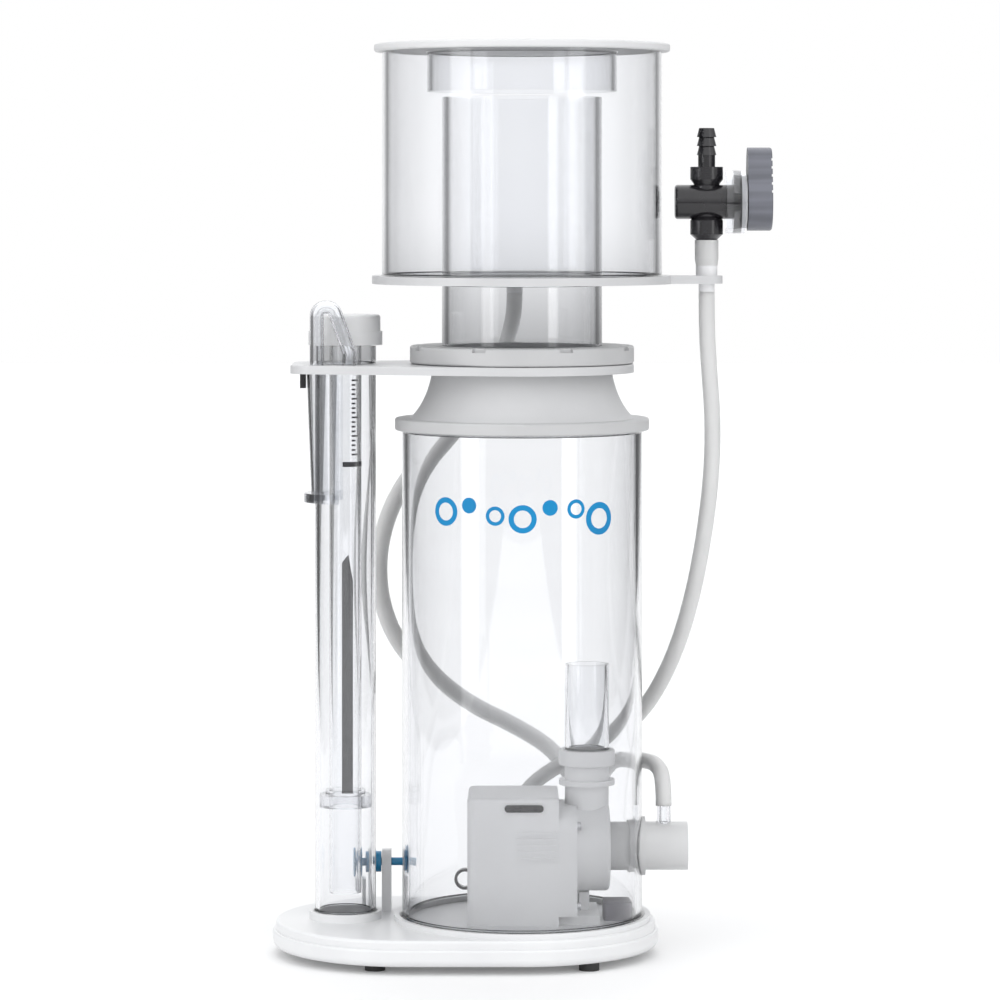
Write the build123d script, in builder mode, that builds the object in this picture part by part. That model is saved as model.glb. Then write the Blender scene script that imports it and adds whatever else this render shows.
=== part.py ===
from build123d import *
import os
from math import radians, tan

# A small in-sump protein skimmer. Millimetres, +Z up.
# The origin is on the reaction chamber's axis, at the surface that the feet stand on.
# +X points to the pump's intake and the air valve, -X to the riser pipe, and -Y is the front.

os.makedirs("parts", exist_ok=True)

# ---- driving dimensions ----
WALL = 3.0  # clear acrylic tube
GAP = 0.3  # between parts that move apart

BASE_R = 68.0
BASE_REACH = 56.4  # the stadium's left centre is this far to -X
FOOT_R, FOOT_H = 5.0, 4.0
LOWER_TOP = 12.5
BASE_TOP = 17.0

CHAMBER_R = 60.0
CHAMBER_TOP = 264.0
FLANGE_R = 63.5
FLANGE_LOW, FLANGE_TOP = 261.0, 267.0
CONE_TOP = 289.8

COLLAR_R = 56.0
PLATE_TOP = 294.1
LOCK_TOP = 303.1

NECK_R = 40.0
NECK_LOW, NECK_TOP = 285.0, 427.0
CUP_R = 70.0
CUP_FLOOR, CUP_FLOOR_TOP = 334.0, 338.0
CUP_TOP = 449.7
CUP_PLATE_R = 75.0
LID_R, LID_T = 74.0, 4.0
LID_RING_R, LID_RING_LOW = 47.5, 430.0

RISER_X = -88.3
RISER_R, RISER_WALL = 15.25, 2.2
RISER_TOP = 303.0
PIPE_R, PIPE_WALL = 8.0, 1.5
PIPE_LOW, PIPE_TOP = 30.0, 303.5
GUIDE_LOW, GUIDE_TOP = 73.0, 79.0

PUMP_Z = 53.0  # height of the impeller's axis
MOTOR_X0, MOTOR_X1 = -27.0, 18.0
MOTOR_Y = 24.0
MOTOR_TOP = 80.0
COVER_X1 = 27.0
VOLUTE_X1 = 43.4
OUTLET_X = 32.4
OUTLET_R = 11.0
INTAKE_R, INTAKE_X1 = 12.0, 82.7

VALVE_Z = 374.8  # the air valve lever's axis
LEVER_X0, LEVER_X1 = 112.6, 124.8

SCREW_Y, SCREW_Z = 23.0, 41.5

AIR_R, DRAIN_R = 4.0, 4.4  # the hoses


def save(part, name):
    part.label = name
    export_step(part, "parts/" + name + ".step")


def tube_between(low, high, outer, inner, x=0.0, y=0.0):
    """An upright tube."""
    with BuildPart() as piece:
        with BuildSketch(Plane.XY.offset(low)):
            with Locations((x, y)):
                Circle(outer)
                if inner > 0:
                    Circle(inner, mode=Mode.SUBTRACT)
        extrude(amount=high - low)
    return piece


def along_x(x):
    """A plane at x whose normal is +X, with its own x axis along +Y."""
    return Plane(origin=(x, 0, 0), x_dir=(0, 1, 0), z_dir=(1, 0, 0))


def stadium(radius):
    """The base's outline, drawn in the sketch that is open."""
    with Locations((0, 0), (-BASE_REACH, 0)):
        Circle(radius)
    with Locations((-BASE_REACH / 2, 0)):
        Rectangle(BASE_REACH, 2 * radius)


# ---- base: two bonded plates on four rubber feet ----
FOOT_SPOTS = [(-72.0, -50.0), (32.5, -50.0), (-72.0, 50.0), (32.5, 50.0)]
FOOT_STEM_R, FOOT_STEM_H = 2.5, 5.0

with BuildPart() as base_lower_plate:
    with BuildSketch(Plane.XY.offset(FOOT_H)):
        stadium(BASE_R)
    extrude(amount=LOWER_TOP - FOOT_H)
    fillet(base_lower_plate.edges().group_by(Axis.Z)[0], 3.5)
    fillet(base_lower_plate.edges().group_by(Axis.Z)[-1], 1.2)
    with BuildSketch(Plane.XY.offset(FOOT_H)):
        with Locations(*FOOT_SPOTS):
            Circle(FOOT_STEM_R)
    extrude(amount=FOOT_STEM_H, mode=Mode.SUBTRACT)
save(base_lower_plate.part, "base_lower_plate")

with BuildPart() as base_top_plate:
    with BuildSketch(Plane.XY.offset(LOWER_TOP)):
        stadium(BASE_R - 1.5)
    extrude(amount=BASE_TOP - LOWER_TOP)
    fillet(base_top_plate.edges().group_by(Axis.Z)[-1], 1.5)
save(base_top_plate.part, "base_top_plate")

with BuildPart() as rubber_feet:
    with BuildSketch():
        with Locations(*FOOT_SPOTS):
            Circle(FOOT_R)
    extrude(amount=FOOT_H)
    with BuildSketch(Plane.XY.offset(FOOT_H)):
        with Locations(*FOOT_SPOTS):
            Circle(FOOT_STEM_R)
    extrude(amount=FOOT_STEM_H)
save(rubber_feet.part, "rubber_feet")

# ---- reaction chamber ----
INTAKE_HOLE_R = 13.0

with BuildPart() as chamber_tube:
    with BuildSketch(Plane.XY.offset(BASE_TOP)):
        Circle(CHAMBER_R)
        Circle(CHAMBER_R - WALL, mode=Mode.SUBTRACT)
    extrude(amount=CHAMBER_TOP - BASE_TOP)
    with BuildSketch(along_x(50.0)):
        with Locations((0, PUMP_Z)):
            Circle(INTAKE_HOLE_R)
    extrude(amount=20.0, mode=Mode.SUBTRACT)
save(chamber_tube.part, "chamber_tube")

chamber_base_ring = tube_between(BASE_TOP, BASE_TOP + 2.5, 64.0, CHAMBER_R)
save(chamber_base_ring.part, "chamber_base_ring")

with BuildPart() as chamber_flange:
    with BuildSketch(Plane.XY.offset(FLANGE_LOW)):
        Circle(FLANGE_R)
    extrude(amount=FLANGE_TOP - FLANGE_LOW)
    with BuildSketch(Plane.XY.offset(FLANGE_LOW)):
        Circle(CHAMBER_R)
    extrude(amount=CHAMBER_TOP - FLANGE_LOW, mode=Mode.SUBTRACT)
    with BuildSketch(Plane.XY.offset(CHAMBER_TOP)):
        Circle(CHAMBER_R - WALL - 4.0)
    extrude(amount=FLANGE_TOP - CHAMBER_TOP, mode=Mode.SUBTRACT)
    fillet(chamber_flange.edges().filter_by(GeomType.CIRCLE).sort_by(SortBy.RADIUS)[-2:], 1.0)
save(chamber_flange.part, "chamber_flange")

# The cone narrows in a hollow curve from the chamber to the neck.
CONE_OUTER = [(55.8, FLANGE_TOP), (52.0, 271.5), (48.2, 278.5), (45.0, CONE_TOP)]
CONE_WALL = 3.0
with BuildPart() as cone:
    with BuildSketch(Plane.XZ):
        with BuildLine():
            Spline(*CONE_OUTER)
            Line(CONE_OUTER[-1], (CONE_OUTER[-1][0] - CONE_WALL, CONE_TOP))
            Spline(*[(r - CONE_WALL, z) for r, z in reversed(CONE_OUTER)])
            Line((CONE_OUTER[0][0] - CONE_WALL, FLANGE_TOP), CONE_OUTER[0])
        make_face()
    revolve(axis=Axis.Z)
save(cone.part, "cone")

# ---- bracket plate: the neck's lower collar, reaching out to hold the riser ----
BRACKET_END = (-95.0, 40.0, 60.0, 13.0)  # middle, length, width, corner radius
with BuildPart() as riser_bracket:
    with BuildSketch(Plane.XY.offset(CONE_TOP)):
        Circle(COLLAR_R)
        with Locations((BRACKET_END[0], 0)):
            RectangleRounded(*BRACKET_END[1:])
        make_hull()
    extrude(amount=PLATE_TOP - CONE_TOP)
    fillet(riser_bracket.edges().group_by(Axis.Z)[-1], 0.8)
    with BuildSketch(Plane.XY.offset(CONE_TOP)):
        Circle(NECK_R + GAP)
        with Locations((RISER_X, 0)):
            Circle(RISER_R)
    extrude(amount=PLATE_TOP - CONE_TOP, mode=Mode.SUBTRACT)
save(riser_bracket.part, "riser_bracket")

# ---- lock ring: turns to clamp the cup's neck flange down on its seal ----
NECK_FLANGE_R = 48.0
SEAL_T = 3.0
NECK_FLANGE_LOW = PLATE_TOP + GAP + SEAL_T
NECK_FLANGE_TOP = NECK_FLANGE_LOW + 3.0
LOCK_LOW = PLATE_TOP + GAP
NOTCHES = 8
with BuildPart() as lock_ring:
    with BuildSketch(Plane.XY.offset(LOCK_LOW)):
        Circle(COLLAR_R)
        Circle(NECK_R + GAP, mode=Mode.SUBTRACT)
    extrude(amount=LOCK_TOP - LOCK_LOW)
    fillet(lock_ring.edges().filter_by(GeomType.CIRCLE).sort_by(SortBy.RADIUS)[-2:], 1.2)
    with BuildSketch(Plane.XY.offset(LOCK_LOW)):
        Circle(NECK_FLANGE_R + GAP)
    extrude(amount=NECK_FLANGE_TOP + GAP - LOCK_LOW, mode=Mode.SUBTRACT)
    with BuildSketch(Plane.XY.offset(LOCK_TOP - 2.0)):
        with PolarLocations(COLLAR_R - 0.5, NOTCHES, start_angle=22.5):
            Rectangle(3.0, 7.0)
    extrude(amount=3.0, mode=Mode.SUBTRACT)
save(lock_ring.part, "lock_ring")

# ---- neck: carries the cup ----
neck_flange = tube_between(NECK_FLANGE_LOW, NECK_FLANGE_TOP, NECK_FLANGE_R, NECK_R)
save(neck_flange.part, "neck_flange")

neck_seal = tube_between(PLATE_TOP + GAP, NECK_FLANGE_LOW, NECK_R + 3.0, NECK_R)
save(neck_seal.part, "neck_seal")

neck_tube = tube_between(NECK_LOW, NECK_TOP, NECK_R, NECK_R - WALL)
save(neck_tube.part, "neck_tube")

# ---- collection cup ----
EAR_X, EAR_END_R = 92.3, 8.0
EAR_HOLE_R = 5.0
SPOUT_X, SPOUT_Y = -3.8, 53.0
SPOUT_R, SPOUT_BORE, SPOUT_LOW = 4.5, 2.5, 328.0

with BuildPart() as cup_base_plate:
    with BuildSketch(Plane.XY.offset(CUP_FLOOR)):
        with BuildSketch(mode=Mode.PRIVATE) as ear:
            Circle(30.0)
            with Locations((EAR_X, 0)):
                Circle(EAR_END_R)
            make_hull()
        Circle(CUP_PLATE_R)
        add(ear)
        Circle(NECK_R, mode=Mode.SUBTRACT)
        with Locations((EAR_X, 0)):
            Circle(EAR_HOLE_R, mode=Mode.SUBTRACT)
        with Locations((SPOUT_X, SPOUT_Y)):
            Circle(SPOUT_BORE, mode=Mode.SUBTRACT)
    extrude(amount=CUP_FLOOR_TOP - CUP_FLOOR)
save(cup_base_plate.part, "cup_base_plate")

cup_tube = tube_between(CUP_FLOOR_TOP, CUP_TOP, CUP_R, CUP_R - WALL)
save(cup_tube.part, "cup_tube")

with BuildPart() as drain_spout:
    with BuildSketch(Plane.XY.offset(CUP_FLOOR - 2.5)):
        with Locations((SPOUT_X, SPOUT_Y)):
            Circle(7.5)
    extrude(amount=2.5)
    with BuildSketch(Plane.XY.offset(SPOUT_LOW)):
        with Locations((SPOUT_X, SPOUT_Y)):
            Circle(SPOUT_R)
    extrude(amount=CUP_FLOOR - SPOUT_LOW - 2.5)
    with BuildSketch(Plane.XY.offset(SPOUT_LOW)):
        with Locations((SPOUT_X, SPOUT_Y)):
            Circle(SPOUT_BORE)
    extrude(amount=CUP_FLOOR - SPOUT_LOW, mode=Mode.SUBTRACT)
save(drain_spout.part, "drain_spout")

# ---- lid and the clear ring bonded under it ----
with BuildPart() as lid:
    with BuildSketch(Plane.XY.offset(CUP_TOP)):
        Circle(LID_R)
    extrude(amount=LID_T)
    fillet(lid.edges(), 1.2)
save(lid.part, "lid")

lid_ring = tube_between(LID_RING_LOW, CUP_TOP, LID_RING_R, LID_RING_R - 2.5)
save(lid_ring.part, "lid_ring")

# ---- riser: the water rises between its wall and the level pipe ----
SOCKET_R = 18.0
riser_tube = tube_between(BASE_TOP, RISER_TOP, RISER_R, RISER_R - RISER_WALL, RISER_X)
save(riser_tube.part, "riser_tube")

riser_socket = tube_between(BASE_TOP, BASE_TOP + 4.0, SOCKET_R, RISER_R, RISER_X)
save(riser_socket.part, "riser_socket")

# ---- level pipe: slides up in the riser with its guide, and turns in the guide ----
RUN_FIT = 0.05
GUIDE_R = RISER_R - RISER_WALL - RUN_FIT
level_guide = tube_between(GUIDE_LOW, GUIDE_TOP, GUIDE_R, PIPE_R + RUN_FIT, RISER_X)
save(level_guide.part, "level_guide")

PIPE_STOP_R = 10.0
with BuildPart() as level_pipe:
    with BuildSketch(Plane.XY.offset(PIPE_LOW)):
        with Locations((RISER_X, 0)):
            Circle(PIPE_R)
    extrude(amount=PIPE_TOP - PIPE_LOW)
    with BuildSketch(Plane.XY.offset(GUIDE_TOP + GAP)):
        with Locations((RISER_X, 0)):
            Circle(PIPE_STOP_R)
    extrude(amount=2.0)
    with BuildSketch(Plane.XY.offset(PIPE_LOW)):
        with Locations((RISER_X, 0)):
            Circle(PIPE_R - PIPE_WALL)
    extrude(amount=PIPE_TOP - PIPE_LOW, mode=Mode.SUBTRACT)
save(level_pipe.part, "level_pipe")

CAP_LOW, CAP_STEP, CAP_TOP = PIPE_TOP, 310.2, 318.5
CAP_LOW_R, CAP_TOP_R = 18.5, 17.5
with BuildPart() as level_cap:
    with BuildSketch(Plane.XY.offset(CAP_LOW)):
        with Locations((RISER_X, 0)):
            Circle(CAP_LOW_R)
    extrude(amount=CAP_STEP - CAP_LOW)
    with BuildSketch(Plane.XY.offset(CAP_STEP)):
        with Locations((RISER_X, 0)):
            Circle(CAP_TOP_R)
    extrude(amount=CAP_TOP - CAP_STEP)
    fillet(level_cap.edges().group_by(Axis.Z)[-1], 1.5)
save(level_cap.part, "level_cap")

# The wedge closes more or less of the pipe's slot as the pipe turns.
WEDGE_LOW, WEDGE_SHOULDER, WEDGE_TIP = 80.0, 186.0, 199.0
with BuildPart() as level_wedge:
    with BuildSketch(Plane.XZ.offset(5.4)):
        with BuildLine():
            Polyline(
                (RISER_X - 1.4, WEDGE_LOW),
                (RISER_X + 3.6, WEDGE_LOW),
                (RISER_X + 3.6, WEDGE_SHOULDER),
                (RISER_X + 1.6, WEDGE_TIP),
                (RISER_X - 1.4, WEDGE_TIP - 4.0),
                close=True,
            )
        make_face()
    extrude(amount=-1.5)
save(level_wedge.part, "level_wedge")

# ---- vent loop on the bracket plate ----
VENT_Y, VENT_R = -24.0, 3.5
VENT_LEFT, VENT_RIGHT, VENT_TOP = -101.5, -85.5, 322.5
with BuildPart() as vent_loop:
    with BuildLine() as vent_line:
        FilletPolyline(
            (VENT_LEFT, VENT_Y, PLATE_TOP),
            (VENT_LEFT, VENT_Y, VENT_TOP),
            (VENT_LEFT + 8.0, VENT_Y, VENT_TOP),
            (VENT_RIGHT, VENT_Y, PLATE_TOP + 6.0),
            (VENT_RIGHT, VENT_Y, PLATE_TOP),
            radius=[4.0, 4.0, 10.0],
        )
    with BuildSketch(Plane.XY.offset(PLATE_TOP)):
        with Locations((VENT_LEFT, VENT_Y)):
            Circle(VENT_R)
            Circle(VENT_R - 1.2, mode=Mode.SUBTRACT)
    sweep(path=vent_line.wire())
save(vent_loop.part, "vent_loop")

# ---- clear half-shroud that leads the overflow down the riser's outer side ----
SHROUD_LOW, SHROUD_WALL, SHROUD_EDGE_X = 225.0, 1.3, -91.0
SHROUD_TOP_R, SHROUD_LOW_R, SHROUD_RIM_R, RIM_H = 19.4, 17.2, 20.6, 4.5
shroud_plane = Plane(origin=(RISER_X, 0, 0), x_dir=(1, 0, 0), z_dir=(0, -1, 0))
shroud_axis = Axis((RISER_X, 0, 0), (0, 0, 1))
with BuildPart() as outlet_shroud:
    with BuildSketch(shroud_plane):
        with BuildLine():
            Polyline(
                (SHROUD_LOW_R, SHROUD_LOW),
                (SHROUD_LOW_R, SHROUD_LOW + RIM_H),
                (SHROUD_TOP_R, CONE_TOP),
                (SHROUD_TOP_R - SHROUD_WALL, CONE_TOP),
                (SHROUD_LOW_R - SHROUD_WALL, SHROUD_LOW + RIM_H),
                (SHROUD_LOW_R - SHROUD_WALL, SHROUD_LOW),
                close=True,
            )
        make_face()
    revolve(axis=shroud_axis)
    with BuildSketch(Plane.XY.offset(SHROUD_LOW)):
        with Locations((SHROUD_EDGE_X + 30.0, 0)):
            Rectangle(60.0, 60.0)
    extrude(amount=CONE_TOP - SHROUD_LOW, mode=Mode.SUBTRACT)
save(outlet_shroud.part, "outlet_shroud")

with BuildPart() as shroud_rim:
    with BuildSketch(Plane.XY.offset(SHROUD_LOW)):
        with Locations((RISER_X, 0)):
            Circle(SHROUD_RIM_R)
            Circle(SHROUD_LOW_R, mode=Mode.SUBTRACT)
        with Locations((SHROUD_EDGE_X + 30.0, 0)):
            Rectangle(60.0, 60.0, mode=Mode.SUBTRACT)
    extrude(amount=RIM_H)
save(shroud_rim.part, "shroud_rim")

with BuildPart() as shroud_clip:
    with BuildSketch(Plane.XY.offset(CONE_TOP - 8.0)):
        with Locations((RISER_X - SHROUD_TOP_R - 1.7, 0)):
            RectangleRounded(3.0, 7.0, 0.8)
    extrude(amount=8.0)
save(shroud_clip.part, "shroud_clip")

# ---- thumbscrew in its two posts ----
POST_X0, POST_X1, POST_TOP, POST_W = -70.6, -65.9, 48.0, 10.0
STOP_X0, STOP_X1, STOP_TOP = -78.5, -75.5, 33.5
SHAFT_R = 2.0
with BuildPart() as screw_posts:
    with BuildSketch(Plane.XY.offset(BASE_TOP)):
        with Locations(((POST_X0 + POST_X1) / 2, SCREW_Y)):
            Rectangle(POST_X1 - POST_X0, POST_W)
    extrude(amount=POST_TOP - BASE_TOP)
    fillet(screw_posts.edges().group_by(Axis.Z)[-1].filter_by(Axis.X), 3.0)
    with BuildSketch(along_x(POST_X0 - 1.0)):
        with Locations((SCREW_Y, SCREW_Z)):
            Circle(SHAFT_R + RUN_FIT)
    extrude(amount=POST_X1 - POST_X0 + 2.0, mode=Mode.SUBTRACT)
    with BuildSketch(Plane.XY.offset(BASE_TOP)):
        with Locations(((STOP_X0 + STOP_X1) / 2, SCREW_Y)):
            RectangleRounded(STOP_X1 - STOP_X0, POST_W, 1.0)
    extrude(amount=STOP_TOP - BASE_TOP)
save(screw_posts.part, "screw_posts")

with BuildPart() as thumbscrew:
    for x0, x1, radius in ((-81.3, -78.7, 7.25), (-78.7, -57.5, SHAFT_R)):
        with BuildSketch(along_x(x0)):
            with Locations((SCREW_Y, SCREW_Z)):
                Circle(radius)
        extrude(amount=x1 - x0)
    with BuildSketch(along_x(-82.0)):
        with Locations((SCREW_Y, SCREW_Z)):
            with PolarLocations(7.6, 12):
                Circle(0.9)
    extrude(amount=4.0, mode=Mode.SUBTRACT)
save(thumbscrew.part, "thumbscrew")

with BuildPart() as thumbscrew_collar:
    with BuildSketch(along_x(-75.0)):
        with Locations((SCREW_Y, SCREW_Z)):
            Circle(5.25)
            Circle(SHAFT_R + RUN_FIT, mode=Mode.SUBTRACT)
    extrude(amount=4.0)
save(thumbscrew_collar.part, "thumbscrew_collar")

# ---- pump: motor ----
SHELL = 2.5
motor_mid = (MOTOR_X0 + MOTOR_X1) / 2
with BuildPart() as motor_housing:
    with BuildSketch(Plane.XY.offset(BASE_TOP)):
        with Locations((motor_mid, 0)):
            Rectangle(MOTOR_X1 - MOTOR_X0, 2 * MOTOR_Y)
    extrude(amount=MOTOR_TOP - BASE_TOP)
    fillet(motor_housing.edges().filter_by(Axis.Z).group_by(Axis.X)[0], 4.0)
    fillet(motor_housing.edges().group_by(Axis.Z)[-1].sort_by(Axis.X)[:-1], 2.0)
    with BuildSketch(along_x(MOTOR_X1)):
        with Locations((0, (BASE_TOP + MOTOR_TOP) / 2)):
            Rectangle(2 * (MOTOR_Y - SHELL), MOTOR_TOP - BASE_TOP - 2 * SHELL)
    extrude(amount=MOTOR_X0 + SHELL - MOTOR_X1, mode=Mode.SUBTRACT)
    for side in (-1, 1):
        with BuildSketch(Plane.XZ.offset(side * MOTOR_Y)):
            for rib in range(5):
                with Locations((7.0, 50.0 + 3.2 * rib)):
                    Rectangle(20.0, 1.2)
        extrude(amount=side * 1.0)
save(motor_housing.part, "motor_housing")

with BuildPart() as motor_latch:
    with BuildSketch(Plane.XZ.offset(MOTOR_Y)):
        with Locations((0.9, 75.0)):
            SlotOverall(19.2, 3.6)
    extrude(amount=0.9)
save(motor_latch.part, "motor_latch")

with BuildPart() as cable_clip:
    with BuildSketch(Plane.XZ.offset(8.0)):
        with Locations((MOTOR_X0 - 1.3, 38.2)):
            Circle(5.2)
            Circle(3.8, mode=Mode.SUBTRACT)
        with Locations((MOTOR_X0 + 5.0, 38.2)):
            Rectangle(10.0, 12.0, mode=Mode.SUBTRACT)
    extrude(amount=4.0)
save(cable_clip.part, "cable_clip")

WELL_R = 11.0
STATOR_X0, STATOR_X1 = -16.0, 12.0
LIMB, COIL_OUT, COIL_LOW, COIL_TOP = 7.0, 13.7, 29.5, 38.5
with BuildPart() as stator_core:
    with BuildSketch(along_x(STATOR_X0)):
        with Locations((0, 48.0)):
            Rectangle(38.0, 48.0)
        with Locations((0, PUMP_Z)):
            Circle(WELL_R, mode=Mode.SUBTRACT)
        for side in (-1, 1):
            with Locations((side * 10.7, 34.0)):
                Rectangle(7.4, 10.0, mode=Mode.SUBTRACT)
    extrude(amount=STATOR_X1 - STATOR_X0)
save(stator_core.part, "stator_core")

with BuildPart() as stator_coil:
    with BuildSketch(Plane.XY.offset(COIL_LOW)):
        with Locations((-2.0, 0)):
            RectangleRounded(35.0, 2 * COIL_OUT, 3.0)
            Rectangle(28.4, 2 * LIMB + 0.4, mode=Mode.SUBTRACT)
    extrude(amount=COIL_TOP - COIL_LOW)
save(stator_coil.part, "stator_coil")

with BuildPart() as rotor_well:
    with BuildSketch(along_x(-22.0)):
        with Locations((0, PUMP_Z)):
            Circle(WELL_R)
    extrude(amount=MOTOR_X1 + 22.0)
    with BuildSketch(along_x(-21.0)):
        with Locations((0, PUMP_Z)):
            Circle(WELL_R - 1.0)
    extrude(amount=MOTOR_X1 + 21.0, mode=Mode.SUBTRACT)
save(rotor_well.part, "rotor_well")


def on_shaft(name, x0, x1, outer, inner):
    """A round piece about the impeller's axis."""
    with BuildPart() as piece:
        with BuildSketch(along_x(x0)):
            with Locations((0, PUMP_Z)):
                Circle(outer)
                if inner > 0:
                    Circle(inner, mode=Mode.SUBTRACT)
        extrude(amount=x1 - x0)
    save(piece.part, name)


ROTOR_SHAFT_R = 1.5
on_shaft("rotor_magnet", -17.5, 14.0, 9.3, ROTOR_SHAFT_R)
on_shaft("rotor_shaft", -20.5, 40.0, ROTOR_SHAFT_R, 0.0)
with BuildPart() as shaft_bushes:
    for x0, x1, outer in ((-21.0, -18.5, WELL_R - 1.0), (MOTOR_X1, 23.0, 8.0)):
        with BuildSketch(along_x(x0)):
            with Locations((0, PUMP_Z)):
                Circle(outer)
                Circle(ROTOR_SHAFT_R + RUN_FIT, mode=Mode.SUBTRACT)
        extrude(amount=x1 - x0)
save(shaft_bushes.part, "shaft_bushes")

# ---- pump: cover, volute and needle wheel ----
VOLUTE_R, VOLUTE_BORE = 22.0, 18.5
OUTLET_BORE = 8.5
CUT_Z = 70.0  # the outlet overhangs the cover above here
with BuildPart() as pump_cover:
    with BuildSketch(along_x(MOTOR_X1)):
        with Locations((0, 48.0)):
            Rectangle(48.0, 53.0)
    extrude(amount=COVER_X1 - MOTOR_X1)
    fillet(pump_cover.edges().filter_by(Axis.X).group_by(Axis.Z)[-1], 12.0)
    with BuildSketch(along_x(MOTOR_X1)):
        with Locations((0, PUMP_Z)):
            Circle(8.0)
    extrude(amount=5.0, mode=Mode.SUBTRACT)
    with BuildSketch(along_x(MOTOR_X1)):
        with Locations((0, PUMP_Z)):
            Circle(3.0)
    extrude(amount=COVER_X1 - MOTOR_X1, mode=Mode.SUBTRACT)
    with BuildSketch(Plane.XY.offset(CUT_Z - GAP)):
        with Locations((OUTLET_X, 0)):
            Circle(OUTLET_R + GAP)
    extrude(amount=10.0, mode=Mode.SUBTRACT)
    for x, length, width, top in ((28.0, 20.0, 40.0, 21.5), (31.0, 5.0, 8.0, 30.5)):
        with BuildSketch(Plane.XY.offset(BASE_TOP)):
            with Locations((x, 0)):
                Rectangle(length, width)
        extrude(amount=top - BASE_TOP)
save(pump_cover.part, "pump_cover")

SEAL_GROOVE_R, SEAL_GROOVE_W = 20.7, 1.2
RING_LOW, RING_TOP, RING_R = 84.0, 86.5, 14.0
with BuildPart() as volute:
    with BuildSketch(along_x(COVER_X1)):
        with Locations((0, PUMP_Z)):
            Circle(VOLUTE_R)
    extrude(amount=VOLUTE_X1 - COVER_X1)
    fillet(volute.edges().group_by(Axis.X)[-1], 2.0)
    with BuildSketch(Plane.XY.offset(CUT_Z)):
        with Locations((OUTLET_X, 0)):
            Circle(OUTLET_R)
    extrude(amount=RING_TOP - CUT_Z)
    with BuildSketch(Plane.XY.offset(RING_LOW)):
        with Locations((OUTLET_X, 0)):
            Circle(RING_R)
    extrude(amount=RING_TOP - RING_LOW)
    with BuildSketch(along_x(COVER_X1)):
        with Locations((0, PUMP_Z)):
            Circle(VOLUTE_BORE)
    extrude(amount=VOLUTE_X1 - 2.5 - COVER_X1, mode=Mode.SUBTRACT)
    with BuildSketch(Plane.XY.offset(PUMP_Z + VOLUTE_BORE - 6.0)):
        with Locations((OUTLET_X + 0.8, 0)):
            Circle(5.0)
    extrude(amount=12.0, mode=Mode.SUBTRACT)
    with BuildSketch(Plane.XY.offset(CUT_Z + 5.5)):
        with Locations((OUTLET_X, 0)):
            Circle(OUTLET_BORE)
    extrude(amount=RING_TOP - CUT_Z, mode=Mode.SUBTRACT)
    with BuildSketch(along_x(COVER_X1)):
        with Locations((0, PUMP_Z)):
            Circle(INTAKE_R - 2.0)
    extrude(amount=VOLUTE_X1 - COVER_X1, mode=Mode.SUBTRACT)
    with BuildSketch(along_x(COVER_X1)):
        with Locations((0, PUMP_Z)):
            Circle(SEAL_GROOVE_R)
            Circle(SEAL_GROOVE_R - SEAL_GROOVE_W, mode=Mode.SUBTRACT)
    extrude(amount=1.2, mode=Mode.SUBTRACT)
save(volute.part, "volute")
on_shaft("volute_seal", COVER_X1, COVER_X1 + 1.2, SEAL_GROOVE_R, SEAL_GROOVE_R - SEAL_GROOVE_W)

WHEEL_X0, WHEEL_R, NEEDLE_R = 28.5, 16.0, 0.9
with BuildPart() as needle_wheel:
    with BuildSketch(along_x(WHEEL_X0)):
        with Locations((0, PUMP_Z)):
            Circle(WHEEL_R)
    extrude(amount=2.0)
    with BuildSketch(along_x(WHEEL_X0 + 2.0)):
        with Locations((0, PUMP_Z)):
            Circle(4.0)
            for radius, count in ((7.5, 8), (11.0, 12), (14.5, 16)):
                with PolarLocations(radius, count):
                    Circle(NEEDLE_R)
    extrude(amount=8.5)
    with BuildSketch(along_x(WHEEL_X0)):
        with Locations((0, PUMP_Z)):
            Circle(ROTOR_SHAFT_R)
    extrude(amount=12.0, mode=Mode.SUBTRACT)
save(needle_wheel.part, "needle_wheel")

with BuildPart() as cover_screws:
    with BuildSketch(along_x(COVER_X1)):
        with Locations((-20.0, 26.0), (20.0, 26.0), (-20.5, 66.0), (20.5, 66.0)):
            Circle(1.9)
    extrude(amount=1.8)
save(cover_screws.part, "cover_screws")

# ---- pump: outlet coupling and bubble tube ----
COUPLING_STEP, COUPLING_TOP, SOCKET_LOW = 93.5, 101.5, 96.0
BUBBLE_TOP = 144.0
with BuildPart() as outlet_coupling:
    with BuildSketch(Plane.XY.offset(RING_TOP)):
        with Locations((OUTLET_X, 0)):
            Circle(OUTLET_R)
    extrude(amount=COUPLING_STEP - RING_TOP)
    with BuildSketch(Plane.XY.offset(COUPLING_STEP)):
        with Locations((OUTLET_X, 0)):
            Circle(RING_R)
    extrude(amount=COUPLING_TOP - COUPLING_STEP)
    fillet(outlet_coupling.edges().filter_by(GeomType.CIRCLE).sort_by(SortBy.RADIUS)[-2:], 0.8)
    with BuildSketch(Plane.XY.offset(RING_TOP)):
        with Locations((OUTLET_X, 0)):
            Circle(OUTLET_BORE)
    extrude(amount=COUPLING_TOP - RING_TOP, mode=Mode.SUBTRACT)
    with BuildSketch(Plane.XY.offset(SOCKET_LOW)):
        with Locations((OUTLET_X, 0)):
            Circle(OUTLET_R)
    extrude(amount=COUPLING_TOP - SOCKET_LOW, mode=Mode.SUBTRACT)
save(outlet_coupling.part, "outlet_coupling")

bubble_tube = tube_between(SOCKET_LOW, BUBBLE_TOP, OUTLET_R, OUTLET_R - 1.8, OUTLET_X)
save(bubble_tube.part, "bubble_tube")

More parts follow.
